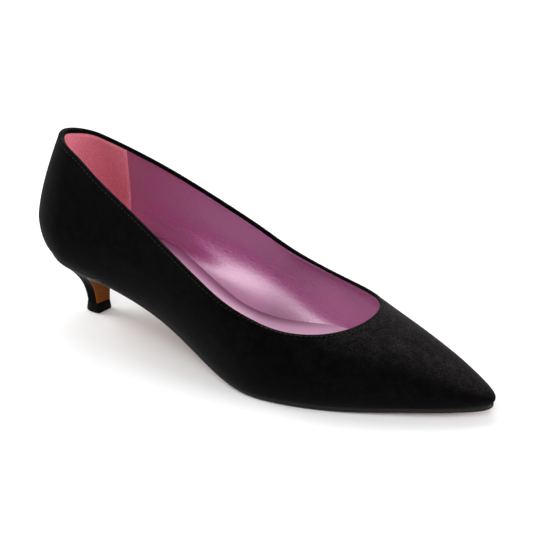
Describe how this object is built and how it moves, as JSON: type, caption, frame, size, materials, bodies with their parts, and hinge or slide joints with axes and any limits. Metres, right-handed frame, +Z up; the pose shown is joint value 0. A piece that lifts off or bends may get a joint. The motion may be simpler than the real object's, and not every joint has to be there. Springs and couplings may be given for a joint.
{
  "type": "high heel shoe",
  "caption": "Pointed pump with a hollow velvet upper open at the collar, a thin leather sole with toe spring and a slim low heel on a small top piece.",
  "frame": {"origin": "bottom centre of the whole shoe, on the floor it stands on", "axes": "+X from the heel to the toe, +Y towards the inner side of the foot, +Z up"},
  "size_m": [0.2574, 0.082, 0.105],
  "materials": {
    "velvet": "black velvet with a soft grey sheen",
    "sock_leather": "metallic pink leather, fine grain",
    "sole_leather": "tan sole leather, smooth",
    "heel_cover": "black heel cover, satin",
    "top_piece_rubber": "black hard rubber"
  },
  "bodies": {
    "root": {"upper": "velvet", "insole": "sock_leather", "outsole": "sole_leather", "heel": "heel_cover", "top_piece": "top_piece_rubber"}
  },
  "joints": []
}
